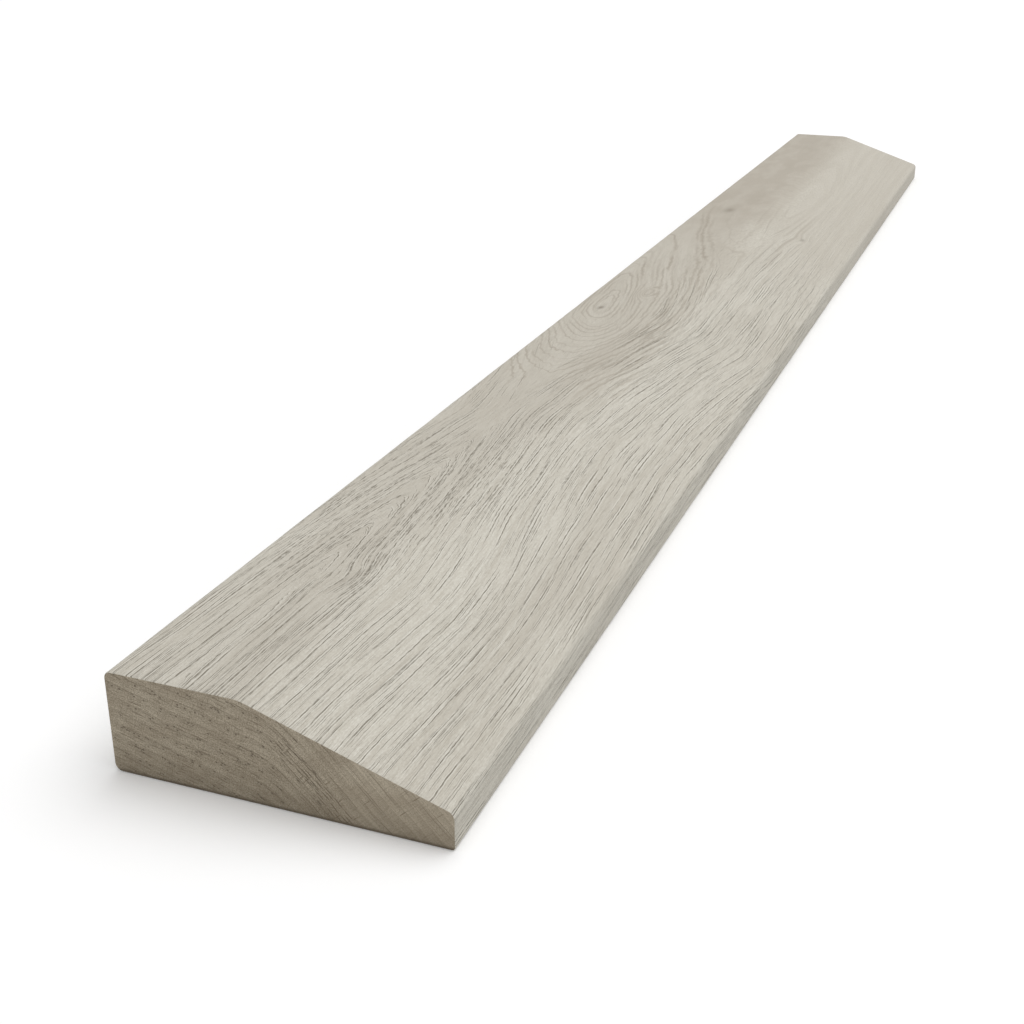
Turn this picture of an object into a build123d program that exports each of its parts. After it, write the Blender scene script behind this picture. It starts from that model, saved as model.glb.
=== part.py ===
# Floor reducer moulding: one length of solid oak that ramps down from a
# 19 mm floor to a lower one. All sizes are in millimetres.
#
# The moulding lies on its flat underside, with its length along Y, its tall
# edge at -X and its thin nose at +X. The origin is in the middle of the
# underside.
import os

from build123d import *

# Driving dimensions
length = 600.0
width = 62.0
tall_edge_height = 19.0
nose_height = 6.8
flat_width = 25.0

# Eased corners of the section
tall_top_radius = 1.2
tall_foot_radius = 1.4
crest_radius = 8.0
nose_top_radius = 1.7
nose_foot_radius = 0.6

# Corners of the section before easing, as (x, z)
tall_side = -width / 2
nose_side = width / 2
tall_foot = (tall_side, 0)
tall_top = (tall_side, tall_edge_height)
crest = (tall_side + flat_width, tall_edge_height)
nose_top = (nose_side, nose_height)
nose_foot = (nose_side, 0)

corner_radii = {
    tall_foot: tall_foot_radius,
    tall_top: tall_top_radius,
    crest: crest_radius,
    nose_top: nose_top_radius,
    nose_foot: nose_foot_radius,
}

# The section runs unchanged from one sawn end to the other: a flat band along
# the tall edge, a ramp down from its crest and a thin rounded nose
with BuildPart() as reducer_moulding:
    with BuildSketch(Plane.XZ) as section:
        with BuildLine():
            Polyline(tall_foot, tall_top, crest, nose_top, nose_foot, close=True)
        make_face()
        for corner, radius in corner_radii.items():
            at_corner = section.vertices().sort_by_distance((*corner, 0))[0]
            fillet(at_corner, radius)
    extrude(amount=length / 2, both=True)

reducer_moulding.part.label = "reducer_moulding"

os.makedirs("parts", exist_ok=True)
export_step(reducer_moulding.part, "parts/reducer_moulding.step")

print(f"section {section.sketch.area:.1f} mm2, volume {reducer_moulding.part.volume / 1000:.1f} cm3")
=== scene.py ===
# %% [markdown]
# # A floor reducer moulding in whitewashed oak
#
# A reducer is the strip that leads from one floor down to a lower one. This one
# is a single length of oak: a flat band along its tall edge, a ramp, and a thin
# nose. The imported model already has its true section, so the lesson keeps that
# shape and adds what a plain solid lacks: eased sawn ends, the relief of
# brushed grain, and the two looks of the wood, along the grain and across it.
#
# The frame comes first. It gives the size that everything here is set out from.

# %% Load the frame
from math import atan2, degrees, pi, radians, tan

import bmesh
import bpy
import numpy as np
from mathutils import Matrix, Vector, noise


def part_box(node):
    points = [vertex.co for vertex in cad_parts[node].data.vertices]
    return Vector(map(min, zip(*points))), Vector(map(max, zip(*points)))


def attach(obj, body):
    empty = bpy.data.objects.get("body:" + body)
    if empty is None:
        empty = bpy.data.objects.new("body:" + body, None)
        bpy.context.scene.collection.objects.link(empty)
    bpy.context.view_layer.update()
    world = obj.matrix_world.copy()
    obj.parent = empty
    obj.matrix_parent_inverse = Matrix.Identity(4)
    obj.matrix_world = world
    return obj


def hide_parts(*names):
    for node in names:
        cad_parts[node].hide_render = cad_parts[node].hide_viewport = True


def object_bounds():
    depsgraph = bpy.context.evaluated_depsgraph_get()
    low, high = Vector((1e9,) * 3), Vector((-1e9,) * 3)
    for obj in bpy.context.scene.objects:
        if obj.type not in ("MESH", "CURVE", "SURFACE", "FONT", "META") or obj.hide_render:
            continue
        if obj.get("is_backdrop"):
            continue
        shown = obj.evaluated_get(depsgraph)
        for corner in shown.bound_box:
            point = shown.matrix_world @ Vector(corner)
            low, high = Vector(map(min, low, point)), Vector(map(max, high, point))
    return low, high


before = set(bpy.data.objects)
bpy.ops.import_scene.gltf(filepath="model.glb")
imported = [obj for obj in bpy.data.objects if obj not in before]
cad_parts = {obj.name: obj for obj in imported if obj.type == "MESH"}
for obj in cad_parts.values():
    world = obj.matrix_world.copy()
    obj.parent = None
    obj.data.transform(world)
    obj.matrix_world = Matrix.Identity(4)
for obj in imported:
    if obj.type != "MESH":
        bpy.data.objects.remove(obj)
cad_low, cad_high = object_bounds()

mm = 0.001
low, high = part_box("reducer_moulding")
length = high.y - low.y
width = high.x - low.x
height = high.z - low.z
print(f"frame: {width / mm:.1f} x {length / mm:.1f} x {height / mm:.1f} mm")

# %% [markdown]
# ## Camera
#
# The strip is seen from its near sawn end, a little above and to the right, and
# the far end runs away to the upper right. The camera is close, half a metre
# from the middle of the strip, which gives the strong taper. An empty to point
# at would do, but a place and two angles are all that a level camera needs.

# %% Camera
camera_data = bpy.data.cameras.new("camera")
camera_data.lens = 50.22
camera_data.sensor_width = 36.0
camera_data.clip_start = 0.01
camera = bpy.data.objects.new("camera", camera_data)
camera.location = (0.1039, -0.4654, 0.1355)
look_down = 0.4104
turn_left = 0.3669
camera.rotation_euler = (pi / 2 - look_down, 0, turn_left)
bpy.context.collection.objects.link(camera)
bpy.context.scene.camera = camera
print(f"camera: {camera_data.lens:.1f} mm lens, {camera.location.z / mm:.0f} mm above the floor")

# %% [markdown]
# ## Floor
#
# The strip lies on a white sweep that shows only its soft shadow. The floor is
# a plain diffuse plane. To camera, mirror and glass rays it is a little whiter
# than to the light that bounces off it, so the background stays white. More
# light would whiten it too, but it would bleach the wood as well.

# %% Floor
floor_size = 8.0
floor_gap = 0.03 * mm
bpy.ops.object.select_all(action="DESELECT")
bpy.ops.mesh.primitive_plane_add(size=floor_size, location=(0, 0, low.z - floor_gap))
floor = bpy.context.object
floor.name = "floor"
bpy.ops.object.transform_apply(location=True, rotation=False, scale=True)
floor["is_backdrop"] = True
print(f"floor: {floor_size:.0f} m square, {floor_gap / mm:.2f} mm under the wood")

# %% White sweep
white = (1, 1, 1, 1)
bounced_white = (0.70, 0.70, 0.69, 1)
glow_level = 0.07


def by_ray(tree, seen, bounced):
    """One shader for camera, mirror and glass rays, and another for bounced light."""
    path = tree.nodes.new("ShaderNodeLightPath")
    is_seen = path.outputs["Is Camera Ray"]
    for name in ("Is Glossy Ray", "Is Transmission Ray"):
        either = tree.nodes.new("ShaderNodeMath")
        either.operation = "MAXIMUM"
        tree.links.new(is_seen, either.inputs[0])
        tree.links.new(path.outputs[name], either.inputs[1])
        is_seen = either.outputs[0]
    choice = tree.nodes.new("ShaderNodeMixShader")
    tree.links.new(is_seen, choice.inputs["Fac"])
    tree.links.new(bounced.outputs[0], choice.inputs[1])
    tree.links.new(seen.outputs[0], choice.inputs[2])
    return choice.outputs[0]


sweep = bpy.data.materials.new("white_sweep")
sweep.use_nodes = True
nodes, links = sweep.node_tree.nodes, sweep.node_tree.links
nodes.remove(nodes["Principled BSDF"])
bounce = nodes.new("ShaderNodeBsdfDiffuse")
bounce.inputs["Color"].default_value = bounced_white
shown = nodes.new("ShaderNodeBsdfDiffuse")
shown.inputs["Color"].default_value = white
glow = nodes.new("ShaderNodeEmission")
glow.inputs["Strength"].default_value = glow_level
shown_white = nodes.new("ShaderNodeAddShader")
links.new(shown.outputs[0], shown_white.inputs[0])
links.new(glow.outputs[0], shown_white.inputs[1])
links.new(by_ray(sweep.node_tree, shown_white, bounce), nodes["Material Output"].inputs["Surface"])
floor.data.materials.append(sweep)
print(f"sweep: {len(nodes)} nodes")

# %% [markdown]
# ## Light
#
# A big white tent gives the even light of a product photograph. A broad lamp,
# high up on the nose side and a little towards the far end, lifts the ramp and
# the nose above the flat band and lets the near sawn end fall darker. Together
# they give a level face about as much light as its colour needs to look as
# written. Area lamps could do this too, but a world and a sun need no placing.

# %% Tent
tent_level = 0.50
bpy.context.scene.view_settings.view_transform = "Standard"
world = bpy.data.worlds.new("white_tent")
world.use_nodes = True
bpy.context.scene.world = world
nodes, links = world.node_tree.nodes, world.node_tree.links
tent = nodes["Background"]
tent.inputs["Color"].default_value = white
tent.inputs["Strength"].default_value = tent_level
backdrop = nodes.new("ShaderNodeBackground")
backdrop.inputs["Color"].default_value = white
backdrop.inputs["Strength"].default_value = 1.0
links.new(by_ray(world.node_tree, backdrop, tent), nodes["World Output"].inputs["Surface"])
print(f"tent: {tent_level:.2f} from every side")

# %% Lamp
lamp_level = 0.50
lamp_from = Vector((0.23, 0.33, 0.92))
lamp_spread = radians(66)
lamp_data = bpy.data.lights.new("broad_lamp", "SUN")
lamp_data.energy = lamp_level * pi
lamp_data.angle = lamp_spread
lamp = bpy.data.objects.new("broad_lamp", lamp_data)
lamp.rotation_euler = lamp_from.to_track_quat("Z", "Y").to_euler()
bpy.context.collection.objects.link(lamp)
print(f"light: level face gets {tent_level + lamp_level * lamp_from.normalized().z:.2f}")

# %% [markdown]
# ## The blank and its ramp
#
# The mill starts from a square blank and cuts the ramp off one side. A cube at
# the blank's size is the same start. One cut along the crest divides its top,
# and lowering the nose edge makes the ramp, so no outline has to be drawn.
# Operators act on what is selected, so two small helpers select edges by their
# ends and faces by their middle and normal.

# %% Blank
bpy.ops.object.select_all(action="DESELECT")
bpy.ops.mesh.primitive_cube_add(size=1.0, location=(low + high) / 2)
moulding = bpy.context.object
moulding.name = "oak_moulding"
moulding.scale = (width, length, height)
bpy.ops.object.transform_apply(location=True, rotation=False, scale=True)
print(f"blank: {len(moulding.data.polygons)} faces")

# %% Picking edges and faces
near = 0.01 * mm
squarely = 0.9


def select_only(kind, is_wanted):
    """Select the edges or the faces that pass the test, and say how many."""
    bpy.ops.mesh.select_mode(type=kind)
    bpy.ops.mesh.select_all(action="DESELECT")
    shape = bmesh.from_edit_mesh(moulding.data)
    elements = shape.edges if kind == "EDGE" else shape.faces
    picked = [element for element in elements if is_wanted(element)]
    for element in picked:
        element.select_set(True)
    bmesh.update_edit_mesh(moulding.data)
    return len(picked)


def pick_edges(is_wanted):
    """Select the edges whose two ends pass the test."""
    return select_only("EDGE", lambda edge: is_wanted(*(end.co for end in edge.verts)))


def pick_faces(is_wanted):
    """Select the faces whose middle and normal pass the test."""
    return select_only("FACE", lambda face: is_wanted(face.calc_center_median(), face.normal))


bpy.ops.object.mode_set(mode="EDIT")
tops = pick_faces(lambda middle, normal: normal.z > squarely)
print(f"picked: {tops} face that looks straight up")

# %% Ramp
flat_width = 25.0 * mm
nose_height = 6.8 * mm
crest_x = low.x + flat_width
bpy.ops.mesh.bisect(plane_co=(crest_x, 0, 0), plane_no=(1, 0, 0))
pick_edges(lambda a, b: min(a.x, b.x) > high.x - near and min(a.z, b.z) > high.z - near)
bpy.ops.transform.translate(value=(0, 0, nose_height - height))
ramp_angle = atan2(height - nose_height, width - flat_width)
print(f"ramp: {degrees(ramp_angle):.1f} degrees down to a {nose_height / mm:.1f} mm nose")

# %% [markdown]
# ## Eased corners
#
# No corner of the section is sharp: the cutter leaves each with a small round,
# and the crest between the flat band and the ramp is only a soft bend. Bevel
# wants the distance from the old corner to where the round begins, which is the
# radius times the tangent of half the turn.

# %% Eased corners
# Where each corner is, the radius of its round, the turn that it makes and its steps
corners = {
    "tall foot": (low.x, low.z, 1.4 * mm, pi / 2, 4),
    "tall top": (low.x, high.z, 1.2 * mm, pi / 2, 4),
    "crest": (crest_x, high.z, 8.0 * mm, ramp_angle, 4),
    "nose top": (high.x, low.z + nose_height, 1.7 * mm, pi / 2 - ramp_angle, 5),
    "nose foot": (high.x, low.z, 0.6 * mm, pi / 2, 3),
}
for name, (corner_x, corner_z, radius, bend, steps) in corners.items():
    here = Vector((corner_x, corner_z))
    pick_edges(lambda a, b: (a.xz - here).length < near and (b.xz - here).length < near)
    setback = radius * tan(bend / 2)
    bpy.ops.mesh.bevel(offset=setback, segments=steps, profile=0.5, clamp_overlap=False)
    print(f"{name}: begins {setback / mm:.2f} mm from the corner")

# %% [markdown]
# ## Strips for the grain
#
# The grain will be carried by the mesh itself, so the faces are cut into fine
# strips: half a millimetre across on the two top faces, coarser where the eye
# comes less. The end caps are taken off meanwhile, because a many-sided cap
# doesn't divide neatly.

# %% Strips across
caps = pick_faces(lambda middle, normal: abs(normal.y) > squarely)
bpy.ops.mesh.delete(type="ONLY_FACE")
print(f"caps: {caps} taken off")

# The edges that make up a round are all shorter than this
least_panel = 2 * mm
# How a point of each panel is known, and how wide its strips are
panels = {
    "flat band": (lambda m: m.z > high.z - near and m.x < crest_x, 0.5 * mm),
    "ramp": (lambda m: m.z > nose_height and m.x > crest_x, 0.5 * mm),
    "nose": (lambda m: m.x > high.x - near, 0.6 * mm),
    "tall edge": (lambda m: m.x < low.x + near, 1.5 * mm),
    "underside": (lambda m: m.z < low.z + near, 4.0 * mm),
}
for name, (is_here, strip) in panels.items():
    def crosses(a, b):
        return abs(a.y - b.y) < near and (a - b).length > least_panel and is_here((a + b) / 2)

    pick_edges(crosses)
    shape = bmesh.from_edit_mesh(moulding.data)
    span = max(edge.calc_length() for edge in shape.edges if edge.select)
    cuts = round(span / strip) - 1
    bpy.ops.mesh.subdivide(number_cuts=cuts)
    print(f"{name}: {span / mm:.1f} mm in {cuts + 1} strips")

# %% [markdown]
# ## Sawn ends
#
# The saw leaves each end flat and square, and a stroke of sandpaper takes the
# sharpness off its arris. So each cap goes back as one face, and a small bevel
# runs round it. Then the strips are divided along the length, into pieces about
# a millimetre and a half long.

# %% Sawn ends
arris = 0.25 * mm
for end_y in (low.y, high.y):
    pick_edges(lambda a, b: abs(a.y - end_y) < near and abs(b.y - end_y) < near)
    bpy.ops.mesh.edge_face_add()
rims = pick_edges(lambda a, b: abs(a.y - b.y) < near and abs(abs(a.y) - length / 2) < near)
bpy.ops.mesh.bevel(offset=arris, segments=2, profile=0.5, clamp_overlap=False)
print(f"sawn ends: {rims} edges eased by {arris / mm:.2f} mm")

# %% Strips along
long_edge = 4 * mm
smooth_below = radians(25)
# One call makes at most 100 cuts, so a second one divides the pieces again
for cuts in (100, 3):
    pick_edges(lambda a, b: abs(a.y - b.y) > long_edge)
    bpy.ops.mesh.subdivide(number_cuts=cuts)
bpy.ops.mesh.select_all(action="SELECT")
bpy.ops.mesh.normals_make_consistent(inside=False)
bpy.ops.object.mode_set(mode="OBJECT")
bpy.ops.object.shade_smooth_by_angle(angle=smooth_below)
moulding.data.calc_loop_triangles()
print(f"moulding: {len(moulding.data.loop_triangles)} triangles")

# %% [markdown]
# ## Growth rings
#
# The figure on a flat-sawn face is a slice through the tree's rings. Each ring
# keeps one distance from the pith, and the pith wanders nearer to the face and
# away from it, so the slice shows long lines at the sides, nested arcs where
# the pith dips and closed loops where it all but breaks the face. So one number
# at each vertex, its distance from the pith, draws the whole figure: points of
# equal distance are one ring. A painted picture could be wrapped round instead,
# but numbers at the vertices also run on over the corners. The values are
# chosen in millimetres from the middle of the strip.

# %% Path of the pith
pith_x = -20.5
# How deep the pith lies under the face, at places along the strip
pith_below_face = [
    (-300, 10.0), (-250, 10.5), (-205, 16.0), (-160, 21.0), (-125, 18.5), (-92, 11.0), (-60, 0.5),
    (-20, 5.0), (20, 9.5), (48, 15.0), (75, 18.5), (120, 21.0), (300, 22.0),
]
# How much shallower it seems from the ramp, where the lines run on straight past the loops
shallower_by = [(-60, 0.0), (-20, 3.0), (20, 6.0), (48, 11.0), (75, 14.0), (120, 16.0), (300, 16.0)]
# How far it strays towards the nose
pith_strays = [
    (-300, 3.0), (-250, 4.5), (-190, 4.5), (-132, 3.5), (-90, 2.5), (-60, -2.3), (-40, -4.0),
    (-10, -9.0), (25, -12.0), (300, -12.0),
]
stray_reach = 18
# Where lines are pushed towards the nose: x, y, push, reach across, reach along
pushes = [
    (-9, -254, 2.0, 3.5, 7),
    (13, 81, 1.5, 3, 6),
    (10, -246, 3.0, 13, 34),
    (4, 150, 7.0, 12, 85),
]
print(f"pith: {min(deep for _, deep in pith_below_face):.1f} mm under the face where it is highest")

# %% [markdown]
# Every vertex needs its place on the strip, and its depth below the top faces
# if it is on a side. The two sides are also folded up level with the face, so
# that the grain can run along them as it does on the top. Numpy works on all
# vertices at once, which a loop over them would do far more slowly.

# %% Places of the vertices
side_margin = 0.4
face_reach = 3
ease_length = 25
spots = np.empty(len(moulding.data.vertices) * 3)
moulding.data.vertices.foreach_get("co", spots)
x, y, z = spots.reshape(-1, 3).T / mm
face_z = np.minimum(height, height - (x * mm - crest_x) * tan(ramp_angle)) / mm
depth = np.maximum(face_z - z, 0)
near_face = np.exp(-depth / face_reach)
unfolded = x + np.sign(x) * depth
on_side = np.abs(x) > width / 2 / mm - side_margin


def eased_through(points, place):
    """A smooth curve past given points, read at each place."""
    at, value = np.array(points, float).T
    fine = np.arange(at[0], at[-1] + 1)
    window = np.hanning(ease_length)
    corner = np.pad(np.interp(fine, at, value), len(window) // 2, mode="edge")
    return np.interp(place, fine, np.convolve(corner, window / window.sum(), mode="valid"))


def bump(dx, dy):
    """1 in the middle of a soft spot, falling away to 0 around it."""
    return np.exp(-(dx**2) - dy**2)


def wave(across, along, seed):
    """Smooth unevenness of the wood, from -1 to 1, with features of the given size."""
    places = zip(x / across, y / along, (z - face_z) / across)
    return np.array([noise.noise(Vector((a, b, c + seed))) for a, b, c in places])


print(f"vertices: {len(x)}, {np.count_nonzero(on_side)} of them on the two sides")

# %% [markdown]
# Three readings come from the pith's path. The fibre reading follows the lines
# sideways, the ring reading is the distance from the pith, with a small second
# loop beyond the first, and the lane reading says where the fine strokes run.
# How steeply a reading changes is kept too, so that a line has one width
# wherever it is drawn.

# %% Ring distance
ramp_starts = -1
ramp_blend = 2.5
blunt_tip = 2.5
usual_depth = 16
dip = 1.2
dip_reach = 20
ring_lean = 0.5
lane_lean = 0.9
least_slope = 0.15

uneven = 0.7 * wave(10, 70, seed=3) + 0.14 * wave(4, 16, seed=7)
second_loop = 5.0 * bump((x + 14.8) / 2.3, (y + 38) / 7)
ripple = 0.6 * wave(7, 20, seed=21) + second_loop


def figure(x, y, depth):
    """The three readings at places on the face, by name."""
    pushed = eased_through(pith_strays, y) * bump((x - pith_x) / stray_reach, 0)
    for x0, y0, push, across, along in pushes:
        pushed = pushed + push * bump((x - x0) / across, (y - y0) / along)
    fibre = x - pushed - uneven
    on_ramp = 1 / (1 + np.exp((ramp_starts - x) / ramp_blend))
    pith_depth = eased_through(pith_below_face, y) - on_ramp * eased_through(shallower_by, y) + depth
    ring = np.hypot(fibre - pith_x, pith_depth) + ring_lean * depth + ripple
    beside = np.hypot(fibre - pith_x, blunt_tip)
    lane = beside + dip * (pith_depth - usual_depth) / (1 + beside / dip_reach) + lane_lean * depth
    return {"fibre": fibre, "ring": ring, "lane": lane}


def steepness(name):
    """How fast a reading of the figure changes over the face, by a small step each way."""
    step = 0.25
    over = np.where(on_side, 0, step)
    down = step - over
    across = figure(x + over, y, depth + down)[name] - figure(x - over, y, depth - down)[name]
    along = figure(x, y + step, depth)[name] - figure(x, y - step, depth)[name]
    return np.maximum(np.hypot(across, along) / (2 * step), least_slope)


fibre, ring, lane = figure(x, y, depth).values()
print(f"rings: {ring.min():.1f} to {ring.max():.1f} mm from the pith")

# %% Keep the readings
from_pith = np.abs(fibre - pith_x)
flat_sawn = near_face * (1 - from_pith / np.hypot(from_pith, eased_through(pith_below_face, y)))


def keep_reading(name, values):
    """Store one number for each vertex, for the materials to read."""
    layer = moulding.data.attributes.new(name, "FLOAT", "POINT")
    layer.data.foreach_set("value", values.astype(np.float32))


keep_reading("ring", ring)
keep_reading("ring_slope", steepness("ring"))
keep_reading("lane", lane)
keep_reading("lane_slope", steepness("lane"))
keep_reading("fibre", fibre + unfolded - x)
keep_reading("unfolded", unfolded)
keep_reading("flat_sawn", flat_sawn)
print(f"flat-sawn: {np.mean(flat_sawn > 0.25):.0%} of the vertices")

# %% [markdown]
# ## Stains and knots
#
# A few places stand out from the even figure: small knots, and brown smudges
# round the loops and along the far half of the flat band. They are soft spots,
# so the vertices can carry them too, each as a bump at a listed place.

# %% Stains and knots
# Browner places: x, y, amount, reach across, reach along
stains = [
    (-18, -262, 0.1, 6, 22),
    (-19, -110, 0.14, 8, 40),
    (4, -30, 0.14, 4, 25),
    (-14.8, -38, 0.45, 2.5, 6),
    (-7, -110, 0.5, 4, 18),
    (-9, 10, 0.5, 4, 25),
    (-10, 74, 0.6, 2.5, 5),
    (-19.5, 96, 1.0, 3, 8),
    (-13.5, 124, 0.7, 3.5, 11),
    (-22.5, 147, 0.5, 2.5, 9),
    (-15.5, 203, 0.6, 3, 11),
    (-16.5, 262, 0.8, 2.5, 20),
]
# Knots, in the same way
knots = [
    (-23, -60, 1.0, 0.8, 1.5),
    (-9.6, -256.5, 0.3, 0.5, 1.7),
    (-8.2, -253, 0.4, 0.5, 1.6),
    (-7.4, -249.5, 0.2, 0.45, 1.6),
    (13, 81, 0.55, 0.8, 2.2),
    (-19.3, 96.5, 0.5, 1.8, 4),
]


def spread(marks):
    """The sum of the listed bumps, on the top faces only."""
    total = sum(amount * bump((x - x0) / a, (y - y0) / b) for x0, y0, amount, a, b in marks)
    return near_face * total


keep_reading("stain", spread(stains))
keep_reading("knot", spread(knots))
print(f"marks: {len(stains)} stains and {len(knots)} knots")

# %% [markdown]
# ## Brushed relief
#
# Before it is whitewashed the oak is brushed, which wears the soft early wood
# of each ring a few hundredths of a millimetre below the hard late wood. A
# vertex group holds how deep each point is worn, as weight painting would, and
# a Displace modifier pushes the face in by it. The underside stays flat.

# %% Relief
ring_spacing = 2.1
brushed_depth = 0.06 * mm
end_margin = 1.5
foot_margin = 1.5
levels = 32
phase = ring / ring_spacing
worn = (0.5 - 0.5 * np.cos(2 * pi * phase)) ** 2
worn *= 0.6 + 0.4 * wave(3, 40, seed=11)
worn *= np.clip((length / 2 / mm - np.abs(y)) / end_margin, 0, 1)
worn[z < foot_margin] = 0
worn = np.clip(worn, 0, 1)

early_wood = moulding.vertex_groups.new(name="early_wood")
for level in range(1, levels + 1):
    members = np.flatnonzero(np.round(worn * levels) == level)
    early_wood.add(members.tolist(), level / levels, "REPLACE")

brush = moulding.modifiers.new("brush", "DISPLACE")
brush.vertex_group = early_wood.name
brush.mid_level = 0
brush.strength = -brushed_depth
bpy.ops.object.modifier_apply(modifier=brush.name)
print(f"relief: up to {brushed_depth / mm:.2f} mm, on {np.count_nonzero(worn)} vertices")

# %% [markdown]
# ## Arithmetic in a material
#
# The finishes are worked out from numbers, and in Blender each sum is a Math
# node. Placing hundreds by hand is slow, so this small class stands for a
# number that the material knows at each point of the wood. Adding or
# multiplying two of them lays the node and its links.

# %% Readings
class Reading:
    """A number that a material works out at each point of the wood."""

    def __init__(self, tree, socket):
        self.tree = tree
        self.socket = socket

    def lay(self, operation, *others):
        node = self.tree.nodes.new("ShaderNodeMath")
        node.operation = operation
        for value, socket in zip((self, *others), node.inputs):
            plug(self.tree, value, socket)
        return Reading(self.tree, node.outputs[0])

    def __add__(self, other):
        return self.lay("ADD", other)

    def __sub__(self, other):
        return self.lay("SUBTRACT", other)

    def __rsub__(self, other):
        return (self * -1.0) + other

    def __mul__(self, other):
        return self.lay("MULTIPLY", other)

    def __truediv__(self, other):
        return self.lay("DIVIDE", other)

    def __pow__(self, other):
        return self.lay("POWER", other)

    __radd__ = __add__
    __rmul__ = __mul__

    def floor(self):
        return self.lay("FLOOR")

    def fract(self):
        return self.lay("FRACT")

    def abs(self):
        return self.lay("ABSOLUTE")

    def sqrt(self):
        return self.lay("SQRT")

    def more(self, other):
        return self.lay("MAXIMUM", other)

    def less(self, other):
        return self.lay("MINIMUM", other)

    def between(self, start, stop):
        """0 up to start, 1 from stop on, and a smooth rise between them."""
        node = self.tree.nodes.new("ShaderNodeMapRange")
        node.interpolation_type = "SMOOTHSTEP"
        plug(self.tree, self, node.inputs["Value"])
        plug(self.tree, start, node.inputs["From Min"])
        plug(self.tree, stop, node.inputs["From Max"])
        return Reading(self.tree, node.outputs["Result"])

    def fades(self, start, stop):
        """1 up to start, 0 from stop on, and a smooth fall between them."""
        return 1.0 - self.between(start, stop)

    def within(self, start, full, fading, gone):
        """1 in the middle of a stretch and 0 outside it, with a smooth rise and fall."""
        return self.between(start, full) * self.fades(fading, gone)


def plug(tree, value, socket):
    """Link a reading or an output to a socket, or write a plain number or colour on it."""
    if isinstance(value, Reading):
        tree.links.new(value.socket, socket)
    elif hasattr(value, "links"):
        tree.links.new(value, socket)
    else:
        socket.default_value = value


print("readings: sums of them lay Math nodes")

# %% [markdown]
# Readings start from four sources: the numbers at the vertices, the place on
# the strip, a smooth noise for cloudy unevenness, and a lot, which is a number
# drawn once for each cell of a pattern and the same in every run.

# %% Sources of readings
def stored(tree, name):
    """A number that was kept at the vertices."""
    node = tree.nodes.new("ShaderNodeAttribute")
    node.attribute_name = name
    return Reading(tree, node.outputs["Fac"])


def place(tree):
    """Where the point lies on the strip, in millimetres: across, along and up."""
    coordinates = tree.nodes.new("ShaderNodeTexCoord")
    split = tree.nodes.new("ShaderNodeSeparateXYZ")
    tree.links.new(coordinates.outputs["Object"], split.inputs[0])
    return [Reading(tree, socket) / mm for socket in split.outputs]


def cloudy(a, b, c=None, detail=0.0):
    """Smooth noise over two or three readings, about 0.5, with features of about size 1."""
    tree = a.tree
    join = tree.nodes.new("ShaderNodeCombineXYZ")
    for value, socket in zip((a, b, c), join.inputs):
        if value is not None:
            plug(tree, value, socket)
    node = tree.nodes.new("ShaderNodeTexNoise")
    node.noise_dimensions = "2D" if c is None else "3D"
    node.inputs["Scale"].default_value = 1.0
    node.inputs["Detail"].default_value = detail
    tree.links.new(join.outputs[0], node.inputs["Vector"])
    return Reading(tree, node.outputs["Fac"])


def lot(a, b=0.0):
    """A fixed number from 0 to 1 drawn for each pair of whole readings."""
    tree = a.tree
    join = tree.nodes.new("ShaderNodeCombineXYZ")
    plug(tree, a, join.inputs[0])
    plug(tree, b, join.inputs[1])
    node = tree.nodes.new("ShaderNodeTexWhiteNoise")
    node.noise_dimensions = "2D"
    tree.links.new(join.outputs[0], node.inputs["Vector"])
    return Reading(tree, node.outputs["Value"])


kept = [layer.name for layer in moulding.data.attributes if layer.data_type == "FLOAT"]
print(f"sources: {len(kept)} readings kept at the vertices, among others")

# %% [markdown]
# A finish is then a first colour with thin coats over it, as a painter would
# glaze it, and a little relief that is too fine for the mesh.

# %% Coats and relief
def new_finish(name):
    """Give the moulding a new material, and return its node tree and its shader."""
    material = bpy.data.materials.new(name)
    material.use_nodes = True
    moulding.data.materials.append(material)
    return material.node_tree, material.node_tree.nodes["Principled BSDF"]


def coated(first, coats):
    """A first colour with coats of others laid over it in turn, each by its amount."""
    colour = (*first, 1)
    for amount, coat in coats:
        node = amount.tree.nodes.new("ShaderNodeMix")
        node.data_type = "RGBA"
        # The colour sockets of a Mix node come after those for numbers and vectors
        factor, under, over = node.inputs[0], node.inputs[6], node.inputs[7]
        plug(amount.tree, amount, factor)
        plug(amount.tree, colour, under)
        plug(amount.tree, (*coat, 1), over)
        colour = node.outputs[2]
    return colour


def set_relief(tree, shader, height_mm):
    """Fine relief too small for the mesh, given in millimetres."""
    relief = tree.nodes.new("ShaderNodeBump")
    relief.inputs["Distance"].default_value = mm
    plug(tree, height_mm, relief.inputs["Height"])
    tree.links.new(relief.outputs["Normal"], shader.inputs["Normal"])


print("finishes: a first colour, its coats and its relief")

# %% [markdown]
# ## Oak along the grain
#
# Whitewash leaves the hard wood a chalky grey and stays thin in the pores, so
# the figure shows as fine dark lines on pale wood. Each line is a chain of open
# pores: it swells, tapers off and starts again. A pale rim runs along it, partly
# whitewash gathered there and partly a painted highlight on the edge of the
# groove. A Wave texture would draw its lines without a break. So narrow lanes
# along the grain are cut into cells instead, and a lot says which cells hold a
# stroke. Round the loops the rings show as soft brown bands.

# %% Strokes and bands
stagger = 9.0
off_middle = 0.4
rim_distance = 1.9


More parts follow.
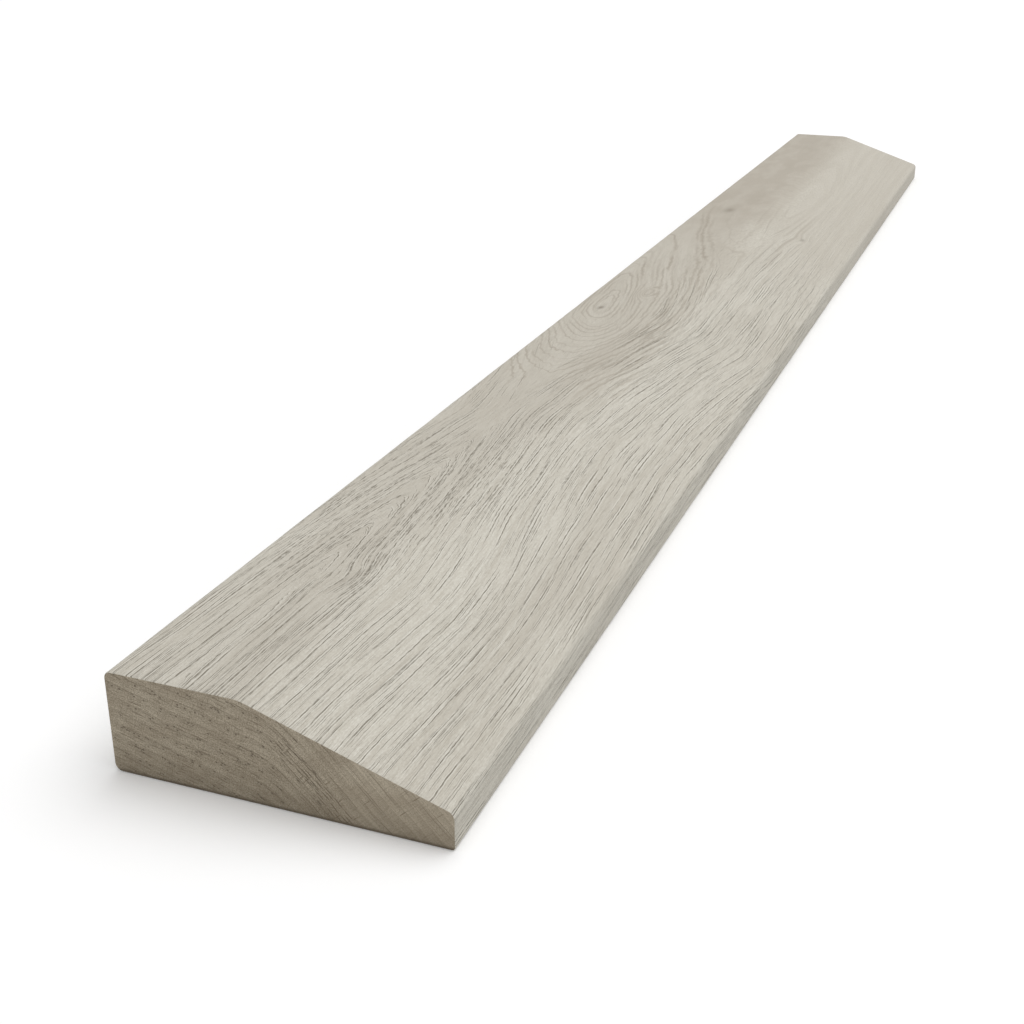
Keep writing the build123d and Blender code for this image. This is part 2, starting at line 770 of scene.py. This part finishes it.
def strokes(lane_mm, slope, along, gauge, run, line_width, cover, seed):
    """Tapering dark strokes, drawn by lot into the cells of narrow lanes, and their pale edges.

    A lane is as wide as its gauge and a cell as long as its run. The line width is
    half a stroke's width, cover is the share of cells that hold a stroke, and each
    set of strokes has a seed of its own.
    """
    lane = lane_mm / gauge
    column = lane.floor() + seed
    step = along / run + lot(column) * stagger
    cell = step.floor()
    taper = 1.0 - (step.fract() * 2.0 - 1.0) ** 2.0
    side = (lane.fract() - 0.5 + (lot(cell, column) - 0.5) * off_middle) * gauge / slope
    present = (lot(column, cell) + cover).between(1.0, 1.12)
    reach = taper * present * line_width
    dark = (reach - side.abs()).between(-0.01, 0.05)
    pale = (reach - (side.abs() - line_width * rim_distance).abs()).between(0.0, 0.08)
    return dark, pale


def ring_bands(ring, slope, along, spacing, half_width, thinned):
    """Soft bands that follow the rings without a break, some of them thinned out."""
    turn = ring / spacing
    number = turn.floor()
    side = (turn.fract() - 0.5 - (lot(number) - 0.5) * off_middle) * spacing / slope
    strength = cloudy(along / 20.0, number * 5.3 + 0.37).between(0.20, 0.55)
    lasting = lot(number, 3.0).between(0.35, 0.65).more(1.0 - thinned)
    return (1.0 - side.abs() / half_width).more(0.0) * strength * lasting


print(f"strokes: drawn on rings about {ring_spacing} mm apart")

# %% [markdown]
# The figure changes along the strip, so the first readings say where the point
# is. There are nested arcs with fine pores near the sawn end, loops round a
# knot in the middle and a fan of lines beyond them. In the far part of the top
# the lines are softer. Places are in millimetres from the middle of the strip.

# %% Parts of the figure
tree, shader = new_finish("whitewashed_oak")
_, along, up = place(tree)
across = stored(tree, "unfolded")
fibre_here = stored(tree, "fibre")
lane_here = stored(tree, "lane")
lane_slope = stored(tree, "lane_slope")
beside_pith = (fibre_here - pith_x).abs()
curly = stored(tree, "flat_sawn").between(0.10, 0.40)

on_band = across.fades(-9.0, -4.0)
# on_nose marks the nose round and side. Besides stroke cover, it carries painted light: a painted
# highlight on the round and a painted lift of the less lit nose face.
on_nose = across.between(29.5, 30.6)
off_tall_side = across.between(-34.0, -31.0)
near_part = along.fades(-150.0, -112.0)
arcs = curly * along.within(-275.0, -245.0, -205.0, -165.0)
loops = beside_pith.fades(18.0, 30.0) * along.within(-150.0, -125.0, 70.0, 120.0)
fan = across.within(-9.0, -4.0, 8.0, 16.0) * along.within(5.0, 40.0, 90.0, 140.0)
crisp = 1.0 - along.between(-10.0, 110.0) * off_tall_side * 0.75
print(f"parts of the figure: {len(tree.nodes)} nodes")

# %% Where strokes run
wander = (cloudy(along / 20.0, lane_here / 4.0) - 0.5) * 0.6
shiver = (cloudy(along / 1.6, lane_here / 1.2) - 0.5) * (0.14 + arcs * 0.14)
lane_here = lane_here + wander + shiver
lanes = (lane_here, lane_slope, along)
nose_half = fibre_here.lay("GREATER_THAN", pith_x) * 40.0

early = (lane_here * (2 * pi / ring_spacing)).lay("COSINE") * -0.5 + 0.5
early = early * early
cleared = 0.70 + along.between(-105.0, -80.0) * 0.30
bare = (curly * (1.0 - near_part)).more(loops * on_band) * cleared
over_pith = beside_pith.fades(0.5, 3.0) * along.between(-190.0, -170.0)
plain = (1.0 - bare) * (1.0 - over_pith)
added = on_band * near_part * (0.05 + along.between(-260.0, -225.0) * 0.06) + on_nose * 0.11
wider = 1.0 + on_band * 0.4 + (1.0 - on_band) * along.between(-240.0, -180.0) * 0.25
print(f"where strokes run: {len(tree.nodes)} nodes so far")

# %% Lines of the grain
often = (early * 0.5 + 0.17 + added) * plain
bold, bold_edge = strokes(
    *lanes, gauge=0.75, run=26.0, line_width=wider * 0.10, cover=often, seed=nose_half
)
often = (early * 0.3 + 0.32 + added) * plain
thin, thin_edge = strokes(
    *lanes, gauge=0.40, run=14.0, line_width=wider * 0.07, cover=often, seed=nose_half + 300.0
)
often = (early * 0.40 + 0.20) * arcs
pores, _ = strokes(
    *lanes, gauge=0.34, run=5.5, line_width=wider * 0.08, cover=often, seed=nose_half + 600.0
)
faint, _ = strokes(
    fibre_here, 1.0, along, gauge=0.25, run=7.0, line_width=0.055, cover=0.40, seed=900.0
)
gaps = cloudy(along / 1.8, across / 0.6).fades(0.30, 0.60)
broken = 1.0 - gaps * (0.43 + arcs * 0.22)
lines = bold.more(thin * 0.75).more(pores * 0.85).more(faint * 0.45) * broken * crisp
# The pale rims along the strokes are partly whitewash and partly a painted highlight on the edges of
# the grooves.
edges = bold_edge.more(thin_edge * 0.7) * crisp * (1.0 - (loops * 0.85).more(curly * 0.5))
print(f"lines: {len(tree.nodes)} nodes so far")

# %% Bands round the loops
rippled = stored(tree, "ring") + (cloudy(along / 3.0, across / 1.5) - 0.5) * 0.5
rings = (rippled, stored(tree, "ring_slope"), along)
band_width = 0.45 + along.between(-45.0, 25.0) * 0.6
thinned = along.between(-35.0, 25.0)
loop_bands = ring_bands(*rings, spacing=1.25, half_width=band_width, thinned=thinned) * loops
fan_bands = ring_bands(*lanes, spacing=ring_spacing, half_width=0.8, thinned=0.4) * fan
bands = loop_bands.more(fan_bands * 0.75)
print(f"bands: {len(tree.nodes)} nodes so far")

# %% [markdown]
# Under the lines the wood is uneven too. Long streaks follow the grain, broad
# patches don't, and the flat band turns browner and more mottled towards the
# far end. Short fibres and a fine grit keep any place from looking smooth.

# %% Uneven tones
streaks = cloudy(lane_here / 2.2, along / 90.0, detail=1.0)
fine_streaks = cloudy(lane_here / 0.7, along / 24.0)
patches = cloudy(across / 26.0, along / 85.0, detail=1.0)
fibres = cloudy(fibre_here / 0.17, along / 3.4, detail=2.0)
grit = cloudy(across / 0.25, along / 0.6, up / 0.25)
mottle = cloudy(across / 6.0, along / 17.0, detail=1.0).between(0.30, 0.70)

past_arcs = along.between(-200.0, -90.0)
far_half = along.between(10.0, 130.0)
notch = along.within(0.0, 45.0, 60.0, 100.0)
from_crest = across - past_arcs * 7.5 + far_half * 5.5 + notch * 6.0
flat_band = from_crest.fades(-9.5 - far_half * 3.0, -2.0 + far_half * 1.5)
browner = flat_band * (0.18 + along.between(-250.0, -190.0) * 0.14 + far_half * (0.38 + mottle * 0.42))
tan_tone_and_painted_light = past_arcs * 0.05 + along.between(-40.0, 20.0) * 0.08 + far_half * 0.23
# Tanner towards the far end and on the outer ramp; less tan on the nose is painted light that lifts
# the less lit nose face.
tan_tone_and_painted_light = tan_tone_and_painted_light + across.between(14.0, 22.0) * (0.14 - past_arcs * 0.08) - on_nose * 0.10
print(f"tones: {len(tree.nodes)} nodes so far")

# %% Colour of the face
chalk = (0.705, 0.680, 0.602)
grey_wood = (0.630, 0.602, 0.525)
tan_wood = (0.425, 0.382, 0.316)
# Pale colour for the rims along the strokes, partly whitewash and partly painted highlight, and for
# painted light on the nose.
pale_rim_and_painted_light = (0.780, 0.756, 0.680)
band_brown = (0.330, 0.285, 0.225)
pore_dark = (0.205, 0.180, 0.139)
# Darkest colour: knots, hatch strokes, open pores, and the painted contact shadow at the end's foot.
darkest_wood_and_shadow = (0.150, 0.120, 0.085)

coats = [
    (streaks.between(0.30, 0.68) * 0.8 + 0.1, grey_wood),
    # Painted light: the nose round and face are made paler, a painted highlight on the round and a
    # lift for the less lit face.
    (on_nose * 0.38, pale_rim_and_painted_light),
    (tan_tone_and_painted_light, tan_wood),
    (browner, tan_wood),
    (patches.between(0.45, 0.80) * 0.24, tan_wood),
    (fine_streaks.between(0.50, 0.80) * crisp * 0.22, tan_wood),
    (stored(tree, "stain").less(1.0) * 0.45, band_brown),
    (bands * (0.74 + along.between(-40.0, 15.0) * 0.20), band_brown),
    (fibres.between(0.25, 0.75) * 0.34, tan_wood),
    (grit.between(0.35, 0.65) * 0.28, tan_wood),
    # Pale rims: partly whitewash, partly painted highlight.
    (edges * 0.60, pale_rim_and_painted_light),
    (lines * 0.92, pore_dark),
    (stored(tree, "knot").less(1.0) * 0.9, darkest_wood_and_shadow),
]
plug(tree, coated(chalk, coats), shader.inputs["Base Color"])
plug(tree, 0.55 + fibres * 0.16 + lines * 0.1, shader.inputs["Roughness"])
shader.inputs["Specular IOR Level"].default_value = 0.3
set_relief(tree, shader, fibres * 0.012 + edges * 0.010 - lines * 0.06)
print(f"face: {len(coats)} coats, {len(tree.nodes)} nodes")

# %% [markdown]
# ## Oak across the grain
#
# A sawn end drinks the whitewash and shows the raw wood darker. The rings cross
# it as flat arcs that turn steeply down on the nose side. Each ring has a row
# of open pores, rays cross the rings at right angles, and coarse strokes hatch
# one belt under the ramp. The saw leaves a fine speckle over all of it. The end
# is made darker towards the bottom, and a thin painted contact shadow runs along
# the foot. The rings are worked out here from the place on the end, and not
# from the vertices, because a cap is a single face with none inside it.

# %% Rings of the end
end_ring = 2.5
belt_ring = 14.8
belt_half = 3.4

tree, shader = new_finish("sawn_oak_end")
across, along, up = place(tree)
bend = (across * across + 9.0).sqrt()
swirl = cloudy(across / 8.0, up / 8.0, along / 50.0, detail=1.0) * 1.4
ring_end = up + 0.66 * across + 0.39 * bend + swirl
ray = 2.3 * across - 1.4 * bend - up

turn = (ring_end / end_ring).fract()
pore_row = (1.0 - (turn - 0.75).abs() / 0.25).more(0.0)
in_belt = (1.0 - ((ring_end - belt_ring) / belt_half).abs()).more(0.0)
hatched = in_belt.between(0.0, 0.5) * across.between(-1.0, 3.0)
smooth_nose = across.between(8.0, 16.0)
print(f"rings of the end: {len(tree.nodes)} nodes")

# %% Marks on the end
across_rings = (ring_end, 1.0, ray)
often = 0.40 - smooth_nose * 0.20
late, _ = strokes(*across_rings, gauge=0.85, run=12.0, line_width=0.11, cover=often, seed=20.0)
often = 0.35 - smooth_nose * 0.10
fine, _ = strokes(*across_rings, gauge=0.42, run=6.0, line_width=0.08, cover=often, seed=220.0)
often = hatched * 0.92
hatch, hatch_edge = strokes(
    *across_rings, gauge=0.95, run=3.4, line_width=0.19, cover=often, seed=420.0
)
often = 0.12 + hatched * 0.16
rays, _ = strokes(ray, 1.0, ring_end, gauge=1.2, run=3.4, line_width=0.12, cover=often, seed=620.0)
often = 0.05 + pore_row * 0.17 - smooth_nose * 0.14
open_pores, _ = strokes(
    *across_rings, gauge=0.40, run=1.8, line_width=0.18, cover=often, seed=820.0
)
print(f"marks on the end: {len(tree.nodes)} nodes so far")

# %% Colour of the end
end_wood = (0.562, 0.486, 0.374)
end_pale = (0.658, 0.580, 0.453)
end_dark = (0.225, 0.182, 0.128)

broad = cloudy(across / 7.0, up / 4.0, along, detail=1.0)
layers = cloudy(ring_end / 0.32, ray / 8.0, detail=1.0)
flecks = cloudy(ray / 0.35, ring_end / 3.5)
speckle = cloudy(across / 0.24, up / 0.24, along, detail=1.0)
coats = [
    (broad.between(0.3, 0.7), end_pale),
    (turn * 0.30, end_dark),
    (layers.between(0.35, 0.75) * (0.30 - smooth_nose * 0.12), end_dark),
    (flecks.between(0.6, 0.75) * 0.20, end_dark),
    (late.more(fine * 0.7) * 0.68, end_dark),
    (hatch_edge * hatched * 0.35, end_pale),
    (rays * 0.90, end_dark),
    (hatch * 0.72, darkest_wood_and_shadow),
    (speckle.between(0.35, 0.70) * (0.65 - smooth_nose * 0.25), end_dark),
    (open_pores * 0.75, darkest_wood_and_shadow),
    # The last two coats: darker towards the bottom of the end, and a thin painted contact shadow along
    # the foot.
    (up.fades(-2.0, 9.0) * 0.34, end_dark),
    (up.fades(0.25, 0.90) * 0.80, darkest_wood_and_shadow),
]
plug(tree, coated(end_wood, coats), shader.inputs["Base Color"])
plug(tree, 0.7 + speckle * 0.1, shader.inputs["Roughness"])
shader.inputs["Specular IOR Level"].default_value = 0.2
set_relief(tree, shader, speckle * 0.04 - late * 0.03 - open_pores * 0.06)
print(f"end: {len(coats)} coats, {len(tree.nodes)} nodes")

# %% Which faces are sawn
facing_out = 0.5
sawn = [face for face in moulding.data.polygons if abs(face.normal.y) > facing_out]
for face in sawn:
    face.material_index = 1
print(f"sawn: {len(sawn)} faces of {len(moulding.data.polygons)}")

# %% [markdown]
# ## Hand over
#
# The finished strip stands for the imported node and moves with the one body. The
# two boxes are written down, so that the size can be compared.

# %% Hand over
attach(moulding, "root")
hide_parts("reducer_moulding")

new_low, new_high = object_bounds()
grown = max((new_high - new_low) - (cad_high - cad_low))
print(f"boxes: the finished strip is {grown / mm:.3f} mm larger than the packed one")
